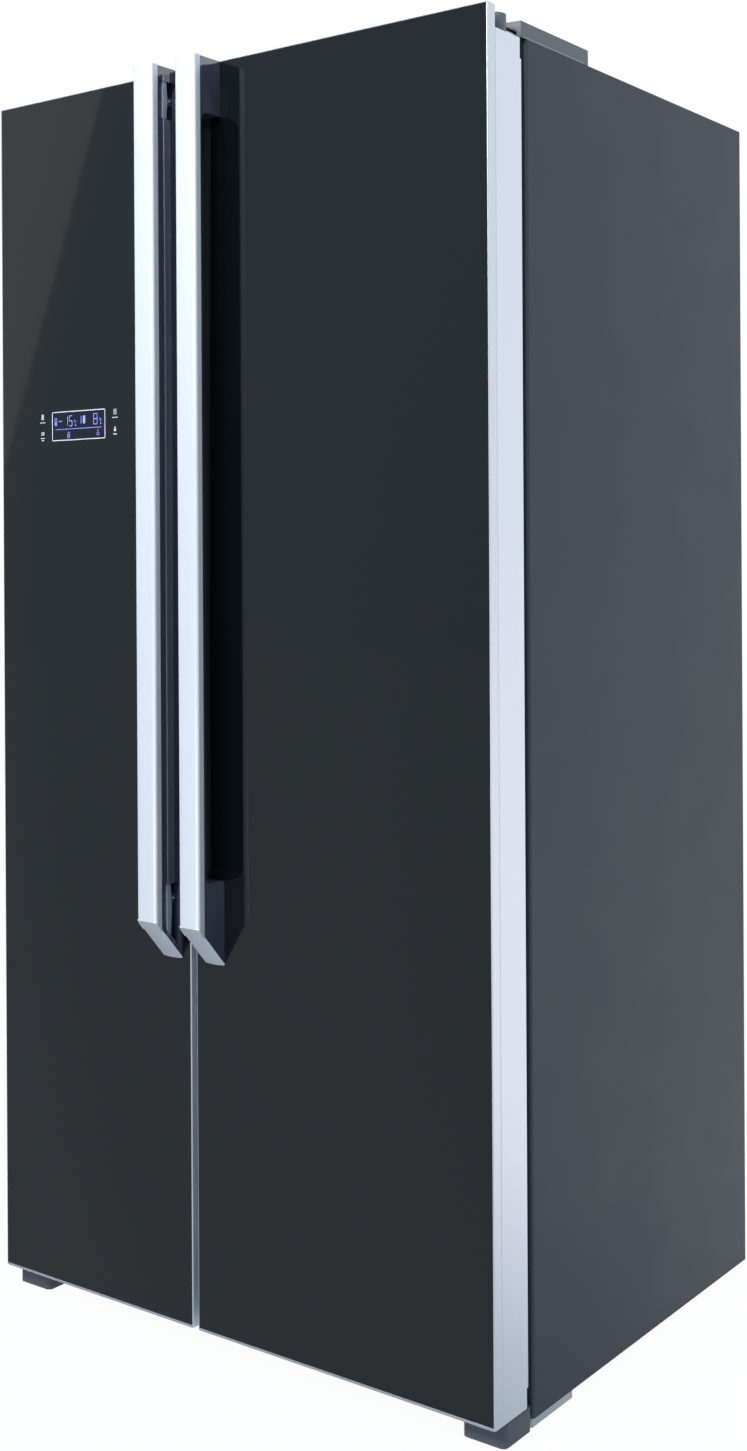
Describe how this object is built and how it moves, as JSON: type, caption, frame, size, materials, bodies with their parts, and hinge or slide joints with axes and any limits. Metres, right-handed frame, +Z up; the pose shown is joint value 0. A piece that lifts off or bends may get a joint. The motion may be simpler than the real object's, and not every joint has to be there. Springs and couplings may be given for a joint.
{
  "type": "side by side refrigerator",
  "caption": "Free-standing side by side refrigerator with black glass doors, long bar handles, a door display, shelves, drawers, door bins and a rear machine compartment.",
  "frame": {"origin": "on the floor, at the middle of the overall width and of the overall depth with the handles", "axes": "+X to the right as seen from the front, +Y to the back, +Z up; the doors face -Y"},
  "size_m": [0.895, 0.745, 1.788],
  "materials": {
    "case_paint": "satin",
    "zinc_steel": "satin",
    "insulation": "matte",
    "white_liner": "satin",
    "shelf_glass": "gloss",
    "coil_metal": "satin",
    "black_coil": "satin",
    "motor_plastic": "matte",
    "ice_plastic": "satin",
    "blue_plastic": "gloss",
    "tray_plastic": "satin",
    "clear_plastic": "gloss",
    "cover_plastic": "satin",
    "foot_plastic": "satin",
    "machine_cover": "satin",
    "black_rubber": "matte",
    "screw_steel": "polished",
    "door_glass": "gloss",
    "trim_aluminium": "satin",
    "end_cap_plastic": "satin",
    "gasket_rubber": "matte",
    "handle_aluminium": "satin",
    "handle_plastic": "gloss",
    "display_plastic": "gloss"
  },
  "bodies": {
    "cabinet": {"side_panel_left": "case_paint", "side_panel_right": "case_paint", "top_panel": "case_paint", "back_panel": "zinc_steel", "base_pan": "zinc_steel", "mullion_strip": "case_paint", "insulation_foam": "insulation", "freezer_liner": "white_liner", "fridge_liner": "white_liner", "freezer_shelves": "shelf_glass", "fridge_shelves": "shelf_glass", "freezer_back_cover": "white_liner", "fridge_air_duct": "white_liner", "evaporator_coil": "coil_metal", "evaporator_fan_motor": "motor_plastic", "ice_frame": "ice_plastic", "top_hinges": "zinc_steel", "hinge_covers": "cover_plastic", "lower_hinges": "zinc_steel", "foot_covers": "foot_plastic", "machine_base": "zinc_steel", "compressor": "black_coil", "condenser_coil": "black_coil", "condenser_fan_motor": "motor_plastic", "drip_tray": "tray_plastic", "machine_cover": "machine_cover", "cord_gland": "black_rubber", "cover_screws": "screw_steel"},
    "fridge_door": {"fridge_glass": "door_glass", "fridge_trims": "trim_aluminium", "fridge_end_caps": "end_cap_plastic", "fridge_door_foam": "insulation", "fridge_door_panel": "white_liner", "fridge_gasket": "gasket_rubber", "fridge_bins": "clear_plastic", "fridge_handle_strip": "handle_aluminium", "fridge_handle_body": "handle_plastic"},
    "freezer_door": {"freezer_glass": "door_glass", "freezer_trims": "trim_aluminium", "freezer_end_caps": "end_cap_plastic", "freezer_door_foam": "insulation", "freezer_door_panel": "white_liner", "freezer_gasket": "gasket_rubber", "freezer_bins": "clear_plastic", "freezer_handle_strip": "handle_aluminium", "freezer_handle_body": "handle_plastic", "display_unit": "display_plastic"},
    "dairy_lid": {"dairy_lid": "clear_plastic"},
    "crisper_upper": {"crisper_drawer_upper": "clear_plastic"},
    "crisper_lower": {"crisper_drawer_lower": "clear_plastic"},
    "humidity_slider": {"humidity_slider": "blue_plastic"},
    "freezer_drawer_upper": {"freezer_drawer_upper": "clear_plastic"},
    "freezer_drawer_lower": {"freezer_drawer_lower": "clear_plastic"},
    "ice_tray": {"ice_tray": "tray_plastic"},
    "ice_box": {"ice_box": "clear_plastic"},
    "evaporator_fan": {"evaporator_fan": "motor_plastic"},
    "condenser_fan": {"condenser_fan": "motor_plastic"},
    "levelling_foot_left": {"levelling_foot_left": "foot_plastic"},
    "levelling_foot_right": {"levelling_foot_right": "foot_plastic"},
    "rear_rollers": {"rear_rollers": "foot_plastic"}
  },
  "joints": [
    {"name": "fridge_door_hinge", "type": "hinge", "parent": "cabinet", "child": "fridge_door", "pos_m": [0.43, -0.2785, 0.9], "axis": [0, 0, 1], "range_deg": [0, 120]},
    {"name": "freezer_door_hinge", "type": "hinge", "parent": "cabinet", "child": "freezer_door", "pos_m": [-0.43, -0.2785, 0.9], "axis": [0, 0, -1], "range_deg": [0, 120]},
    {"name": "dairy_lid_hinge", "type": "hinge", "parent": "fridge_door", "child": "dairy_lid", "pos_m": [0.1895, -0.2365, 1.47775], "axis": [1, 0, 0], "range_deg": [0, 88]},
    {"name": "crisper_upper_slide", "type": "slide", "parent": "cabinet", "child": "crisper_upper", "axis": [0, -1, 0], "range_m": [0, 0.075]},
    {"name": "crisper_lower_slide", "type": "slide", "parent": "cabinet", "child": "crisper_lower", "axis": [0, -1, 0], "range_m": [0, 0.075]},
    {"name": "humidity_slide", "type": "slide", "parent": "crisper_upper", "child": "humidity_slider", "axis": [1, 0, 0], "range_m": [0, 0.03]},
    {"name": "freezer_upper_slide", "type": "slide", "parent": "cabinet", "child": "freezer_drawer_upper", "axis": [0, -1, 0], "range_m": [0, 0.075]},
    {"name": "freezer_lower_slide", "type": "slide", "parent": "cabinet", "child": "freezer_drawer_lower", "axis": [0, -1, 0], "range_m": [0, 0.075]},
    {"name": "ice_tray_twist", "type": "hinge", "parent": "cabinet", "child": "ice_tray", "pos_m": [-0.292, -0.0595, 1.6024], "axis": [0, 1, 0], "range_deg": [0, 150], "stiffness_Nm_per_rad": 0.15},
    {"name": "ice_box_slide", "type": "slide", "parent": "cabinet", "child": "ice_box", "axis": [0, -1, 0], "range_m": [0, 0.075]},
    {"name": "evaporator_fan_spin", "type": "hinge", "parent": "cabinet", "child": "evaporator_fan", "pos_m": [-0.238, 0.2595, 0.67], "axis": [0, 1, 0], "continuous": true},
    {"name": "condenser_fan_spin", "type": "hinge", "parent": "cabinet", "child": "condenser_fan", "pos_m": [0.01, 0.2575, 0.131], "axis": [1, 0, 0], "continuous": true},
    {"name": "levelling_foot_left_turn", "type": "hinge", "parent": "cabinet", "child": "levelling_foot_left", "pos_m": [-0.4115, -0.2665, 0.01], "axis": [0, 0, 1], "continuous": true},
    {"name": "levelling_foot_right_turn", "type": "hinge", "parent": "cabinet", "child": "levelling_foot_right", "pos_m": [0.4115, -0.2665, 0.01], "axis": [0, 0, 1], "continuous": true},
    {"name": "rear_roller_spin", "type": "hinge", "parent": "cabinet", "child": "rear_rollers", "pos_m": [0, 0.3275, 0.02], "axis": [1, 0, 0], "continuous": true}
  ]
}
